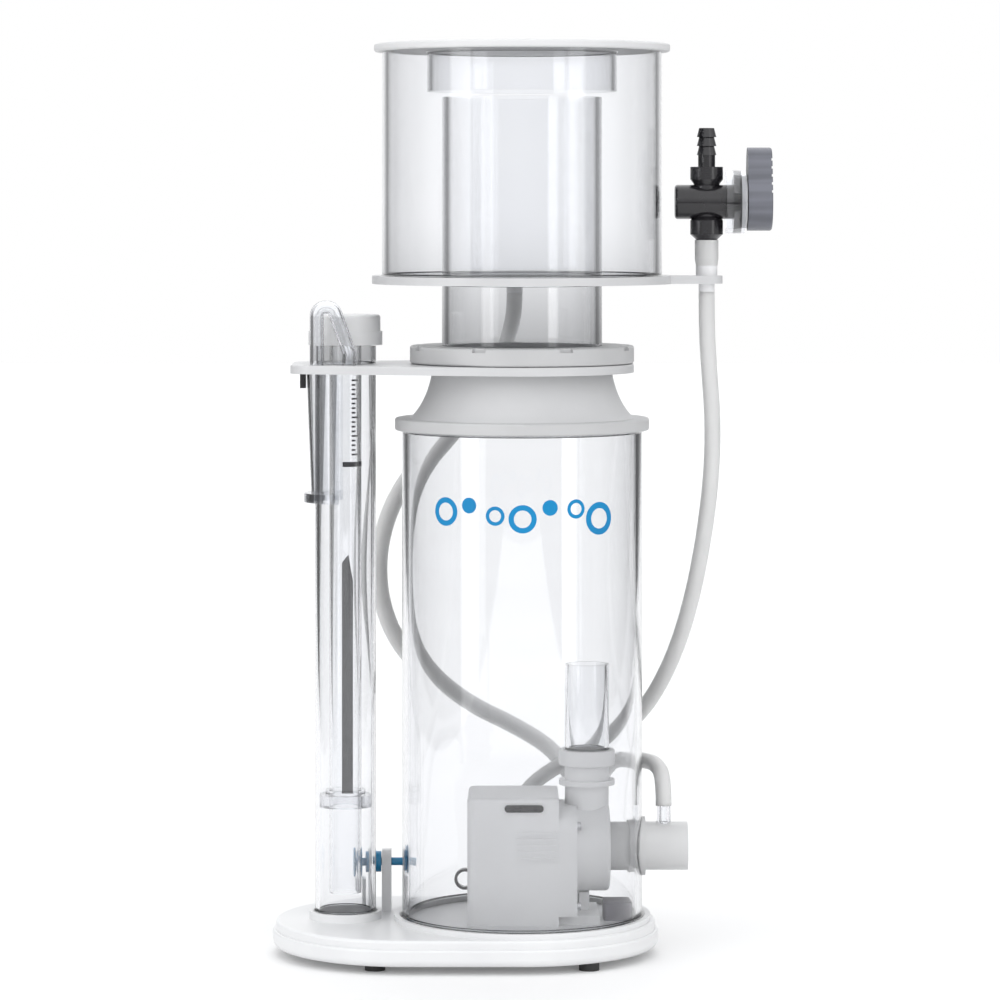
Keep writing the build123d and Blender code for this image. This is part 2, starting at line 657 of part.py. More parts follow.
# ---- pump: intake through the chamber wall, with the air nipple ----
NIPPLE_X, NIPPLE_R, NIPPLE_BORE, NIPPLE_TOP = 70.8, 3.5, 1.6, 73.0
with BuildPart() as intake_pipe:
    with BuildSketch(along_x(VOLUTE_X1)):
        with Locations((0, PUMP_Z)):
            Circle(INTAKE_R)
            Circle(INTAKE_R - 2.0, mode=Mode.SUBTRACT)
    extrude(amount=INTAKE_X1 - VOLUTE_X1)
    with BuildSketch(Plane.XY.offset(PUMP_Z)):
        with Locations((NIPPLE_X, 0)):
            Circle(NIPPLE_BORE)
    extrude(amount=INTAKE_R + 2.0, mode=Mode.SUBTRACT)
save(intake_pipe.part, "intake_pipe")

with BuildPart() as intake_seal:
    with BuildSketch(along_x(57.2)):
        with Locations((0, PUMP_Z)):
            Circle(INTAKE_HOLE_R + 1.6)
    extrude(amount=4.3)
    with BuildSketch(Plane.XY.offset(PUMP_Z - 20.0)):
        Circle(CHAMBER_R)
    extrude(amount=40.0, mode=Mode.SUBTRACT)
    with BuildSketch(along_x(53.0)):
        with Locations((0, PUMP_Z)):
            Circle(INTAKE_HOLE_R)
    extrude(amount=8.5)
    with BuildSketch(along_x(50.0)):
        with Locations((0, PUMP_Z)):
            Circle(INTAKE_R)
    extrude(amount=15.0, mode=Mode.SUBTRACT)
save(intake_seal.part, "intake_seal")

with BuildPart() as air_nipple:
    with BuildSketch(Plane.XY.offset(PUMP_Z + 8.0)):
        with Locations((NIPPLE_X, 0)):
            Circle(NIPPLE_R)
    extrude(amount=NIPPLE_TOP - PUMP_Z - 8.0)
    with BuildSketch(along_x(NIPPLE_X - 10.0)):
        with Locations((0, PUMP_Z)):
            Circle(INTAKE_R)
    extrude(amount=20.0, mode=Mode.SUBTRACT)
    with BuildSketch(Plane.XY.offset(PUMP_Z)):
        with Locations((NIPPLE_X, 0)):
            Circle(NIPPLE_BORE)
    extrude(amount=30.0, mode=Mode.SUBTRACT)
save(air_nipple.part, "air_nipple")

with BuildPart() as pump_pad:
    with BuildSketch(Plane.XY.offset(BASE_TOP)):
        with Locations((47.5, 0)):
            RectangleRounded(14.0, 18.0, 2.0)
    extrude(amount=9.0)
save(pump_pad.part, "pump_pad")

# ---- air valve on the cup's ear ----
with BuildPart() as ear_nipple:
    for low, high, radius in ((330.0, 334.0, AIR_R), (334.0, 338.0, EAR_HOLE_R), (338.0, 343.0, 5.4)):
        with BuildSketch(Plane.XY.offset(low)):
            with Locations((EAR_X, 0)):
                Circle(radius)
                Circle(2.0, mode=Mode.SUBTRACT)
        extrude(amount=high - low)
save(ear_nipple.part, "ear_nipple")

valve_axis = Axis((EAR_X, 0, 0), (0, 0, 1))
valve_plane = Plane(origin=(EAR_X, 0, 0), x_dir=(1, 0, 0), z_dir=(0, -1, 0))


def turned_valve_part(outline):
    """A part turned about the valve's upright axis."""
    with BuildPart() as piece:
        with BuildSketch(valve_plane):
            with BuildLine():
                Polyline(*outline, close=True)
            make_face()
        revolve(axis=valve_axis)
    return piece.part


sleeve_outline = [(2.0, 343.0), (5.4, 343.0), (5.9, 346.5), (5.9, 355.8), (2.0, 355.8)]
save(turned_valve_part(sleeve_outline), "valve_sleeve")

STEM_R, BODY_R, BORE_R = 6.0, 8.6, 2.0
PLUG_R, PLUG_X0 = 4.5, 84.0
BARB_R, BARB_Z = 4.3, [398.2, 402.7, 407.2]
body_outline = [
    (0.0, 355.8),
    (5.2, 355.8),
    (8.2, 358.6),
    (8.2, 365.6),
    (STEM_R, 367.6),
    (STEM_R, 383.0),
    (8.2, 386.0),
    (8.2, 392.3),
    (BARB_R, 392.3),
    (BARB_R, BARB_Z[0]),
]
for barb in BARB_Z:
    body_outline += [(BARB_R + 0.6, barb), (BARB_R - 0.5, barb + 4.5)]
body_outline += [(0.0, BARB_Z[-1] + 4.5)]
with BuildPart() as valve_body:
    add(turned_valve_part(body_outline))
    with BuildSketch(along_x(76.3)):
        with Locations((0, VALVE_Z)):
            Circle(BODY_R)
    extrude(amount=105.4 - 76.3)
    fillet(valve_body.edges().group_by(Axis.X)[0], 1.5)
    with BuildSketch(Plane.XY.offset(355.8)):
        with Locations((EAR_X, 0)):
            Circle(BORE_R)
    extrude(amount=60.0, mode=Mode.SUBTRACT)
    with BuildSketch(along_x(PLUG_X0)):
        with Locations((0, VALVE_Z)):
            Circle(PLUG_R + RUN_FIT)
    extrude(amount=25.0, mode=Mode.SUBTRACT)
save(valve_body.part, "valve_body")


def on_valve(name, x0, x1, outer, inner):
    """A round piece about the valve lever's axis."""
    with BuildPart() as piece:
        with BuildSketch(along_x(x0)):
            with Locations((0, VALVE_Z)):
                Circle(outer)
                Circle(inner, mode=Mode.SUBTRACT)
        extrude(amount=x1 - x0)
    save(piece.part, name)


on_valve("valve_disc", 105.4, 109.4, 13.5, PLUG_R + RUN_FIT)
on_valve("valve_clear_ring", 101.8, 111.2, 15.75, 13.5)
on_valve("valve_dial", 109.4, 112.2, 13.2, PLUG_R + RUN_FIT)

with BuildPart() as valve_plug:
    with BuildSketch(along_x(PLUG_X0 + GAP)):
        with Locations((0, VALVE_Z)):
            Circle(PLUG_R)
    extrude(amount=LEVER_X0 - PLUG_X0 - GAP)
    with BuildSketch(Plane.XY.offset(VALVE_Z - 8.0)):
        with Locations((EAR_X, 0)):
            Circle(BORE_R)
    extrude(amount=16.0, mode=Mode.SUBTRACT)
save(valve_plug.part, "valve_plug")

LEVER_HUB_R, LEVER_TIP_R, LEVER_TIP_Z = 14.4, 9.0, 393.0
with BuildPart() as valve_lever:
    with BuildSketch(along_x(LEVER_X0)):
        with Locations((0, VALVE_Z)):
            Circle(LEVER_HUB_R)
        with Locations((0, LEVER_TIP_Z)):
            Circle(LEVER_TIP_R)
        make_hull()
    extrude(amount=LEVER_X1 - LEVER_X0)
    fillet(valve_lever.edges().group_by(Axis.X)[-1], 1.2)
    with BuildSketch(along_x(LEVER_X1 - 0.6)):
        for groove in range(5):
            with Locations((0, 380.0 + 4.0 * groove)):
                Rectangle(40.0, 1.2)
    extrude(amount=2.0, mode=Mode.SUBTRACT)
save(valve_lever.part, "valve_lever")

# ---- hoses: straight runs joined by tangent arcs ----
AIR_ROUTE = [
    (EAR_X, 0.0, 330.0),
    (EAR_X, 0.0, 312.0),
    (93.5, 0.5, 292.0),
    (95.5, 1.0, 266.0),
    (95.0, 3.0, 238.0),
    (91.0, 7.5, 204.0),
    (85.0, 15.0, 172.0),
    (76.5, 27.0, 143.0),
    (64.0, 43.0, 117.0),
    (46.0, 60.0, 98.0),
    (24.0, 72.0, 86.0),
    (3.0, 78.0, 72.0),
    (-8.0, 80.0, 51.0),
    (-1.0, 80.0, 32.0),
    (18.0, 79.0, 26.0),
    (34.0, 76.0, 36.0),
    (39.0, 72.0, 56.0),
    (43.0, 65.0, 77.0),
    (51.0, 52.0, 89.5),
    (60.5, 34.0, 91.5),
    (67.8, 15.5, 92.0),
    (NIPPLE_X, 0.0, 87.0),
    (NIPPLE_X, 0.0, NIPPLE_TOP),
]
DRAIN_ROUTE = [
    (SPOUT_X, SPOUT_Y, SPOUT_LOW),
    (SPOUT_X, SPOUT_Y, 317.0),
    (-9.0, 67.0, 300.0),
    (-20.0, 75.0, 277.0),
    (-36.0, 76.0, 256.0),
    (-54.0, 72.0, 239.0),
    (-67.0, 65.0, 219.0),
    (-73.5, 60.0, 196.0),
    (-73.0, 60.0, 172.0),
    (-65.0, 65.0, 149.0),
    (-49.0, 72.0, 130.0),
    (-27.0, 79.0, 114.0),
    (-2.0, 86.0, 102.0),
    (20.0, 91.0, 88.0),
    (33.0, 94.0, 66.0),
    (36.0, 95.0, 40.0),
    (34.0, 96.0, 18.0),
    (26.0, 98.0, DRAIN_R),
    (8.0, 100.0, DRAIN_R),
]


def hose(name, route, radius):
    """A hose along its route; each bend is as large as its two runs allow."""
    points = [Vector(*p) for p in route]
    runs = [b - a for a, b in zip(points, points[1:])]
    bends = []
    for before, after in zip(runs, runs[1:]):
        turn = before.get_angle(after)
        shorter = min(before.length, after.length)
        bends.append(0.45 * shorter / tan(radians(turn / 2)))
    with BuildPart() as piece:
        with BuildLine() as line:
            FilletPolyline(*route, radius=bends)
        with BuildSketch(Plane(origin=points[0], z_dir=runs[0])):
            Circle(radius)
        sweep(path=line.wire())
    print(name, "length", round(line.wire().length, 1), "bends", [round(b, 1) for b in bends])
    save(piece.part, name)


hose("air_hose", AIR_ROUTE, AIR_R)
hose("drain_hose", DRAIN_ROUTE, DRAIN_R)
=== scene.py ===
import math
import random

import bpy
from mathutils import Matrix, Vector


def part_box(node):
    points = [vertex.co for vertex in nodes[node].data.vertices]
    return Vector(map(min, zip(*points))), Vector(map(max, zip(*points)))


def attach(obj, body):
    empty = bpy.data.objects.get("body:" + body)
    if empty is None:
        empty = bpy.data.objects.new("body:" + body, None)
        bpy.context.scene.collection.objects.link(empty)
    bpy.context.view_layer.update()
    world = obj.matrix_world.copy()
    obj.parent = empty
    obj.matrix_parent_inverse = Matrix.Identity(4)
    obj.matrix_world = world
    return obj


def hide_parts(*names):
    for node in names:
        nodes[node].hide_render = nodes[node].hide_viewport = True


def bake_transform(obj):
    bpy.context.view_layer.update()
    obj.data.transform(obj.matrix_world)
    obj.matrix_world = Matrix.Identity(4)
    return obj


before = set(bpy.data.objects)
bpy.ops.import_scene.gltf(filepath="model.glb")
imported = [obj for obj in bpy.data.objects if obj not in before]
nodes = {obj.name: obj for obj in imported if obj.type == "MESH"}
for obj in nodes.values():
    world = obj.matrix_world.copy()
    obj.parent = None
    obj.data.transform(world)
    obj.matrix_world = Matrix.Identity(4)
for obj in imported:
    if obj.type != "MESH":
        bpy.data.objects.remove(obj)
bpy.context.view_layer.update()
print("frame loaded:", len(nodes), "CAD nodes")


def newFinish(name):
    material = bpy.data.materials.new(name)
    material.use_nodes = True
    tree = material.node_tree
    return material, tree, tree.nodes["Principled BSDF"]


def objectCoordinates(tree, scale=(1.0, 1.0, 1.0)):
    place = tree.nodes.new("ShaderNodeTexCoord")
    mapping = tree.nodes.new("ShaderNodeMapping")
    mapping.inputs["Scale"].default_value = scale
    tree.links.new(place.outputs["Object"], mapping.inputs["Vector"])
    return mapping.outputs["Vector"]


def noise(tree, vector, scale, detail=4.0, roughness=0.55):
    node = tree.nodes.new("ShaderNodeTexNoise")
    node.inputs["Scale"].default_value = scale
    node.inputs["Detail"].default_value = detail
    node.inputs["Roughness"].default_value = roughness
    tree.links.new(vector, node.inputs["Vector"])
    return node.outputs["Fac"]


def spread(tree, value, low, high, fromLow=0.3, fromHigh=0.7):
    node = tree.nodes.new("ShaderNodeMapRange")
    node.inputs["From Min"].default_value = fromLow
    node.inputs["From Max"].default_value = fromHigh
    node.inputs["To Min"].default_value = low
    node.inputs["To Max"].default_value = high
    tree.links.new(value, node.inputs["Value"])
    return node.outputs["Result"]


def twoTone(tree, value, first, second, low=0.35, high=0.65):
    ramp = tree.nodes.new("ShaderNodeValToRGB")
    ramp.color_ramp.elements[0].position = low
    ramp.color_ramp.elements[0].color = (*first, 1.0)
    ramp.color_ramp.elements[1].position = high
    ramp.color_ramp.elements[1].color = (*second, 1.0)
    tree.links.new(value, ramp.inputs["Fac"])
    return ramp.outputs["Color"]


def bump(tree, shader, height, strength, distance):
    node = tree.nodes.new("ShaderNodeBump")
    node.inputs["Strength"].default_value = strength
    node.inputs["Distance"].default_value = distance
    tree.links.new(height, node.inputs["Height"])
    tree.links.new(node.outputs["Normal"], shader.inputs["Normal"])


def clearAcrylicFinish(name, depth, tint=(0.972, 0.975, 0.982), deep=(0.985, 0.988, 0.992)):
    material, tree, shader = newFinish(name)
    shader.inputs["Transmission Weight"].default_value = 1.0
    shader.inputs["IOR"].default_value = 1.49
    where = objectCoordinates(tree)
    cloud = noise(tree, where, 14.0, 2.0)
    tree.links.new(twoTone(tree, cloud, tint, deep), shader.inputs["Base Color"])
    drawn = objectCoordinates(tree, (1.0, 1.0, 0.06))  # faint lines along the drawn tube
    lines = noise(tree, drawn, 420.0, 3.0)
    tree.links.new(spread(tree, lines, 0.0, 0.035), shader.inputs["Roughness"])
    bump(tree, shader, lines, 0.06, 0.00005)
    inside = tree.nodes.new("ShaderNodeVolumeAbsorption")  # darkens the long way through a wall's edge
    inside.inputs["Color"].default_value = (0.44, 0.45, 0.5, 1.0)
    inside.inputs["Density"].default_value = depth
    tree.links.new(inside.outputs["Volume"], tree.nodes["Material Output"].inputs["Volume"])
    return material


def frostedFinish(name, pale, dull, transmission=0.35, roughness=(0.42, 0.58)):
    material, tree, shader = newFinish(name)
    shader.inputs["Transmission Weight"].default_value = transmission
    shader.inputs["IOR"].default_value = 1.46
    where = objectCoordinates(tree)
    cloud = noise(tree, where, 22.0, 5.0)
    tree.links.new(twoTone(tree, cloud, dull, pale), shader.inputs["Base Color"])
    grain = noise(tree, where, 1600.0, 2.0)
    tree.links.new(spread(tree, cloud, *roughness), shader.inputs["Roughness"])
    bump(tree, shader, grain, 0.25, 0.00008)
    return material


def mouldedFinish(name, pale, dull, roughness=(0.28, 0.4), grainScale=900.0, coat=0.0, strength=0.15):
    material, tree, shader = newFinish(name)
    shader.inputs["IOR"].default_value = 1.49
    shader.inputs["Coat Weight"].default_value = coat
    where = objectCoordinates(tree)
    cloud = noise(tree, where, 30.0, 5.0)
    tree.links.new(twoTone(tree, cloud, dull, pale), shader.inputs["Base Color"])
    grain = noise(tree, where, grainScale, 3.0)
    tree.links.new(spread(tree, cloud, *roughness), shader.inputs["Roughness"])
    bump(tree, shader, grain, strength, 0.00008)
    return material


def leverFinish(name, pale, dull):
    material, tree, shader = newFinish(name)
    shader.inputs["IOR"].default_value = 1.49
    banded = objectCoordinates(tree, (0.05, 0.05, 1.0))  # faint bands across the lever
    bands = noise(tree, banded, 260.0, 1.0)
    tree.links.new(twoTone(tree, bands, dull, pale), shader.inputs["Base Color"])
    grain = noise(tree, objectCoordinates(tree), 900.0, 3.0)
    tree.links.new(spread(tree, grain, 0.32, 0.46), shader.inputs["Roughness"])
    bump(tree, shader, grain, 0.15, 0.00008)
    return material


def metalFinish(name, pale, dull, roughness=(0.25, 0.45)):
    material, tree, shader = newFinish(name)
    shader.inputs["Metallic"].default_value = 1.0
    brushed = objectCoordinates(tree, (0.1, 1.0, 1.0))
    lines = noise(tree, brushed, 900.0, 3.0)
    tree.links.new(twoTone(tree, lines, dull, pale), shader.inputs["Base Color"])
    tree.links.new(spread(tree, lines, *roughness), shader.inputs["Roughness"])
    bump(tree, shader, lines, 0.2, 0.00005)
    return material


finishes = {
    "clear": clearAcrylicFinish("clearCastAcrylic", 25.0),
    "clearMoulded": clearAcrylicFinish(
        "clearMouldedPart", 40.0, (0.93, 0.94, 0.955), (0.96, 0.965, 0.975)
    ),
    "base": mouldedFinish("whitePvcPlate", (0.72, 0.725, 0.73), (0.69, 0.694, 0.702)),
    "whitePart": mouldedFinish("whiteMouldedPart", (0.8, 0.802, 0.81), (0.75, 0.754, 0.765)),
    "plate": mouldedFinish("palePvcBracket", (0.58, 0.582, 0.59), (0.55, 0.552, 0.56)),
    "intake": frostedFinish(
        "frostedIntake", (0.68, 0.682, 0.684), (0.63, 0.632, 0.636), 0.1, (0.3, 0.42)
    ),
    "cone": frostedFinish("frostedCone", (0.64, 0.643, 0.65), (0.6, 0.603, 0.61), 0.1),
    "collar": frostedFinish("frostedCollar", (0.57, 0.573, 0.578), (0.53, 0.533, 0.538), 0.1),
    "lid": frostedFinish("frostedLid", (0.88, 0.883, 0.888), (0.85, 0.853, 0.858), 0.25),
    "pump": frostedFinish(
        "frostedPumpPart", (0.96, 0.962, 0.965), (0.93, 0.932, 0.938), 0.12, (0.3, 0.45)
    ),
    "hose": frostedFinish(
        "siliconeHose", (0.9, 0.901, 0.896), (0.86, 0.861, 0.856), 0.4, (0.28, 0.42)
    ),
    "black": mouldedFinish(
        "blackMouldedNylon", (0.02, 0.019, 0.022), (0.012, 0.011, 0.013), (0.14, 0.24), coat=0.2
    ),
    "strip": mouldedFinish("darkStrip", (0.09, 0.09, 0.1), (0.05, 0.05, 0.055), (0.3, 0.5)),
    "grey": leverFinish("greyLeverPlastic", (0.16, 0.165, 0.195), (0.11, 0.115, 0.135)),
    "dial": mouldedFinish("paleDialPlastic", (0.78, 0.785, 0.8), (0.7, 0.705, 0.72), (0.2, 0.35)),
    "blue": mouldedFinish("blueNylon", (0.01, 0.24, 0.47), (0.008, 0.19, 0.4), (0.2, 0.32)),
    "ink": mouldedFinish("blueInk", (0.0, 0.22, 0.48), (0.0, 0.19, 0.43), (0.7, 0.85)),
    "blackInk": mouldedFinish("blackInk", (0.035, 0.035, 0.04), (0.025, 0.025, 0.028), (0.35, 0.5)),
    "pad": mouldedFinish(
        "greyFoamPad", (0.22, 0.21, 0.25), (0.15, 0.145, 0.175), (0.6, 0.8), 700.0, strength=0.4
    ),
    "rubber": mouldedFinish(
        "blackRubber", (0.03, 0.03, 0.03), (0.02, 0.02, 0.02), (0.6, 0.8), 500.0, strength=0.3
    ),
    "ceramic": mouldedFinish("polishedCeramic", (0.85, 0.84, 0.8), (0.8, 0.79, 0.76), (0.1, 0.2)),
    "magnet": mouldedFinish("sealedFerrite", (0.06, 0.06, 0.065), (0.035, 0.035, 0.04), (0.35, 0.5)),
    "copper": metalFinish("enamelledCopper", (0.6, 0.26, 0.1), (0.42, 0.16, 0.06)),
    "steel": metalFinish("stainlessSteel", (0.62, 0.62, 0.64), (0.5, 0.5, 0.52)),
    "iron": metalFinish("stackedLaminations", (0.4, 0.41, 0.43), (0.28, 0.29, 0.31)),
}

finishOfNode = {
    "clear": "chamber_tube neck_tube cup_tube lid_ring riser_tube level_pipe level_guide bubble_tube",
    "clearMoulded": "air_nipple vent_loop outlet_shroud shroud_rim valve_clear_ring",
    "base": "base_lower_plate base_top_plate chamber_base_ring riser_socket",
    "plate": "riser_bracket cup_base_plate",
    "whitePart": "screw_posts neck_flange drain_spout ear_nipple",
    "intake": "intake_pipe intake_seal",
    "cone": "cone",
    "collar": "chamber_flange lock_ring",
    "lid": "lid level_cap",
    "pump": "motor_housing pump_cover volute outlet_coupling",
    "hose": "air_hose drain_hose valve_sleeve",
    "black": "valve_body valve_disc valve_plug motor_latch shroud_clip cable_clip needle_wheel rotor_well",
    "strip": "level_wedge",
    "grey": "valve_lever",
    "dial": "valve_dial",
    "blue": "thumbscrew thumbscrew_collar",
    "rubber": "rubber_feet neck_seal volute_seal",
    "pad": "pump_pad",
    "ceramic": "rotor_shaft shaft_bushes",
    "magnet": "rotor_magnet",
    "copper": "stator_coil",
    "steel": "cover_screws",
    "iron": "stator_core",
}


def paint(thing, finish):
    thing.data.materials.clear()
    thing.data.materials.append(finishes[finish])


for finish, names in finishOfNode.items():
    for name in names.split():
        paint(nodes[name], finish)
print("finishes on the CAD nodes:", len(finishes))


def meshObject(name, vertices, faces, finish, body=None, smooth=True):
    mesh = bpy.data.meshes.new(name)
    mesh.from_pydata(vertices, [], faces)
    mesh.update()
    thing = bpy.data.objects.new(name, mesh)
    bpy.context.scene.collection.objects.link(thing)
    for face in mesh.polygons:
        face.use_smooth = smooth
    paint(thing, finish)
    if body:
        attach(thing, body)
    return thing


# from the ear's nipple down the right side, round behind the pump and over to the intake's nipple
airHose = {
    "node": "air_hose",
    "route": [
        (0.0923, 0.0, 0.330),
        (0.0923, 0.0, 0.312),
        (0.0935, 0.0005, 0.292),
        (0.0955, 0.001, 0.266),
        (0.095, 0.003, 0.238),
        (0.091, 0.0075, 0.204),
        (0.085, 0.015, 0.172),
        (0.0765, 0.027, 0.143),
        (0.064, 0.043, 0.117),
        (0.046, 0.060, 0.098),
        (0.024, 0.072, 0.086),
        (0.003, 0.078, 0.072),
        (-0.008, 0.080, 0.051),
        (-0.001, 0.080, 0.032),
        (0.018, 0.079, 0.026),
        (0.034, 0.076, 0.036),
        (0.039, 0.072, 0.056),
        (0.043, 0.065, 0.077),
        (0.051, 0.052, 0.0895),
        (0.0605, 0.034, 0.0915),
        (0.0678, 0.0155, 0.092),
        (0.0708, 0.0, 0.087),
        (0.0708, 0.0, 0.073),
    ],
    "diameter": 0.008,
    "bore": 0.005,
    "length": 0.52,
    "farEnd": "object",
}

# from the cup's spout down behind the chamber to the floor
drainHose = {
    "node": "drain_hose",
    "route": [
        (-0.0038, 0.053, 0.328),
        (-0.0038, 0.053, 0.317),
        (-0.009, 0.067, 0.300),
        (-0.020, 0.075, 0.277),
        (-0.036, 0.076, 0.256),
        (-0.054, 0.072, 0.239),
        (-0.067, 0.065, 0.219),
        (-0.0735, 0.060, 0.196),
        (-0.073, 0.060, 0.172),
        (-0.065, 0.065, 0.149),
        (-0.049, 0.072, 0.130),
        (-0.027, 0.079, 0.114),
        (-0.002, 0.086, 0.102),
        (0.020, 0.091, 0.088),
        (0.033, 0.094, 0.066),
        (0.036, 0.095, 0.040),
        (0.034, 0.096, 0.018),
        (0.026, 0.098, 0.0044),
        (0.008, 0.100, 0.0044),
    ],
    "diameter": 0.0088,
    "bore": 0.0055,
    "length": 0.42,
    "farEnd": "bare",
}


def splinePoints(route):
    curve = bpy.data.curves.new("route", "CURVE")
    curve.dimensions = "3D"
    spline = curve.splines.new("NURBS")
    spline.points.add(len(route) - 1)
    for point, place in zip(spline.points, route):
        point.co = (*place, 1.0)
    spline.order_u = 3
    spline.use_endpoint_u = True
    spline.resolution_u = 10
    carrier = bpy.data.objects.new("route", curve)
    mesh = bpy.data.meshes.new_from_object(carrier)
    points = [v.co.copy() for v in mesh.vertices]
    bpy.data.meshes.remove(mesh)
    bpy.data.objects.remove(carrier)
    bpy.data.curves.remove(curve)
    return points


def ringFrames(points):
    frames = []
    side = None
    for i, point in enumerate(points):
        ahead = points[min(i + 1, len(points) - 1)] - points[max(i - 1, 0)]
        ahead.normalize()
        if side is None:
            side = ahead.orthogonal().normalized()
        side = (side - ahead * side.dot(ahead)).normalized()
        frames.append((point, side, ahead.cross(side)))
    return frames


def hoseMesh(name, points, outer, bore, finish, sides=28):
    frames = ringFrames(points)
    vertices = []
    for radius in (outer, bore):
        for middle, side, up in frames:
            for k in range(sides):
                turn = 2 * math.pi * k / sides
                vertices.append(middle + radius * (math.cos(turn) * side + math.sin(turn) * up))
    rings = len(frames)

    def at(wall, ring, k):
        return (wall * rings + ring) * sides + k % sides

    faces = []
    for ring in range(rings - 1):
        ahead = ring + 1
        for k in range(sides):
            faces.append((at(0, ring, k), at(0, ring, k + 1), at(0, ahead, k + 1), at(0, ahead, k)))
            faces.append((at(1, ring, k + 1), at(1, ring, k), at(1, ahead, k), at(1, ahead, k + 1)))
    for k in range(sides):
        last = rings - 1
        faces.append((at(0, 0, k + 1), at(0, 0, k), at(1, 0, k), at(1, 0, k + 1)))
        faces.append((at(0, last, k), at(0, last, k + 1), at(1, last, k + 1), at(1, last, k)))
    return meshObject(name, [tuple(v) for v in vertices], faces, finish)


def makeHose(name, hose):
    points = splinePoints(hose["route"])
    tube = hoseMesh(name, points, hose["diameter"] / 2, hose["bore"] / 2, "hose")
    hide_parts(hose["node"])
    return tube


airTube = makeHose("siliconeAirHose", airHose)
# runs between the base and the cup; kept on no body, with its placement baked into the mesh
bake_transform(airTube)
drainTube = makeHose("siliconeDrainHose", drainHose)
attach(drainTube, "cup")
print("hoses routed")


def turnedRing(name, middle, outline, finish, body, steps=120):
    vertices = []
    faces = []
    corners = len(outline)
    for k in range(steps):
        turn = 2 * math.pi * k / steps
        for radius, height in outline:
            x = middle[0] + radius * math.cos(turn)
            y = middle[1] + radius * math.sin(turn)
            vertices.append((x, y, height))
    for k in range(steps):
        ahead = (k + 1) % steps
        for i in range(corners):
            j = (i + 1) % corners
            faces.append((k * corners + i, ahead * corners + i, ahead * corners + j, k * corners + j))
    return meshObject(name, vertices, faces, finish, body)


# solvent beads where the tubes are bonded: centre, radius, height, size, up or down, body
weldBeads = {
    "chamberFoot": ((0.0, 0.0), 0.060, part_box("chamber_base_ring")[1][2], 0.0013, 1, "root"),
    "chamberHead": ((0.0, 0.0), 0.060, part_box("chamber_flange")[0][2], 0.0011, -1, "root"),
    "riserFoot": ((-0.0883, 0.0), 0.01525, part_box("riser_socket")[1][2], 0.0009, 1, "root"),
    "riserHead": ((-0.0883, 0.0), 0.01525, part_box("riser_bracket")[1][2], 0.0009, 1, "root"),
    "cupFoot": ((0.0, 0.0), 0.070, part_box("cup_base_plate")[1][2], 0.0012, 1, "cup"),
    "neckUnder": ((0.0, 0.0), 0.040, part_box("cup_base_plate")[0][2], 0.0011, -1, "cup"),
    "neckOver": ((0.0, 0.0), 0.040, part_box("cup_base_plate")[1][2], 0.0011, 1, "cup"),
    "lidRing": ((0.0, 0.0), 0.0475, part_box("lid_ring")[1][2], 0.0009, -1, "lid"),
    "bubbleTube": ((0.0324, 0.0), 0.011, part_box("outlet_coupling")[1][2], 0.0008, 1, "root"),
}


beadSink = 0.0002  # how far a bead reaches into the tube's wall


def makeWeldBeads():
    for name, (middle, radius, height, size, way, body) in weldBeads.items():
        outline = [(radius - beadSink, height), (radius + size, height)]
        for k in range(1, 5):
            turn = math.pi / 2 * k / 5
            rise = way * size * (1 - math.cos(turn))
            outline.append((radius + size - size * math.sin(turn), height + rise))
        outline.append((radius, height + way * size))
        outline.append((radius - beadSink, height + way * size))
        if way < 0:
            outline.reverse()
        beadName = "weldBead" + name[0].upper() + name[1:]
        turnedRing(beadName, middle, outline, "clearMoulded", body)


makeWeldBeads()
print("tube joints bonded:", len(weldBeads))


# a row of bubbles on the chamber's front: large ring, small dot and middling ring in turn
decal = {
    "middle": 0.2235,  # height of the row
    "halfWidth": 0.0405,
    "lift": 0.00012,
    "thickness": 0.0001,
    "rise": 0.0035,
    "wave": 3.4,  # half turns of the row's wave from end to end
    "bubbles": 7,
    "radii": (0.0074, 0.0042, 0.0048),
    "hollow": (0.62, 0.0, 0.62),
    "smallest": 0.00001,  # closes the middle of a solid dot
    "seed": 4,
}


def wrapped(x, z, radius):
    turn = x / radius
    return (radius * math.sin(turn), -radius * math.cos(turn), z)


def makeDecal():
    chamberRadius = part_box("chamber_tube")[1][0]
    rng = random.Random(decal["seed"])
    vertices = []
    faces = []
    steps = 48
    for index in range(decal["bubbles"]):
        along = index / (decal["bubbles"] - 1)
        x = decal["halfWidth"] * (2 * along - 1)
        z = decal["middle"] + decal["rise"] * math.sin(decal["wave"] * math.pi * along)
        size = decal["radii"][index % 3] * rng.uniform(0.9, 1.1)
        hollow = size * decal["hollow"][index % 3]
        start = len(vertices)
        for depth in (0.0, decal["thickness"]):
            radius = chamberRadius + decal["lift"] + depth
            for ringSize in (size, max(hollow, decal["smallest"])):
                for k in range(steps):
                    turn = 2 * math.pi * k / steps
                    point = wrapped(x + ringSize * math.cos(turn), z + ringSize * math.sin(turn), radius)
                    vertices.append(point)
        for k in range(steps):
            n = (k + 1) % steps
            backOuter, backInner, frontOuter, frontInner = (start + steps * i for i in range(4))
            faces.append((frontOuter + k, frontOuter + n, frontInner + n, frontInner + k))
            faces.append((backOuter + n, backOuter + k, backInner + k, backInner + n))
            faces.append((backOuter + k, backOuter + n, frontOuter + n, frontOuter + k))
            faces.append((frontInner + k, frontInner + n, backInner + n, backInner + k))
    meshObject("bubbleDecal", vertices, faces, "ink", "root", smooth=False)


makeDecal()
print("decal printed")


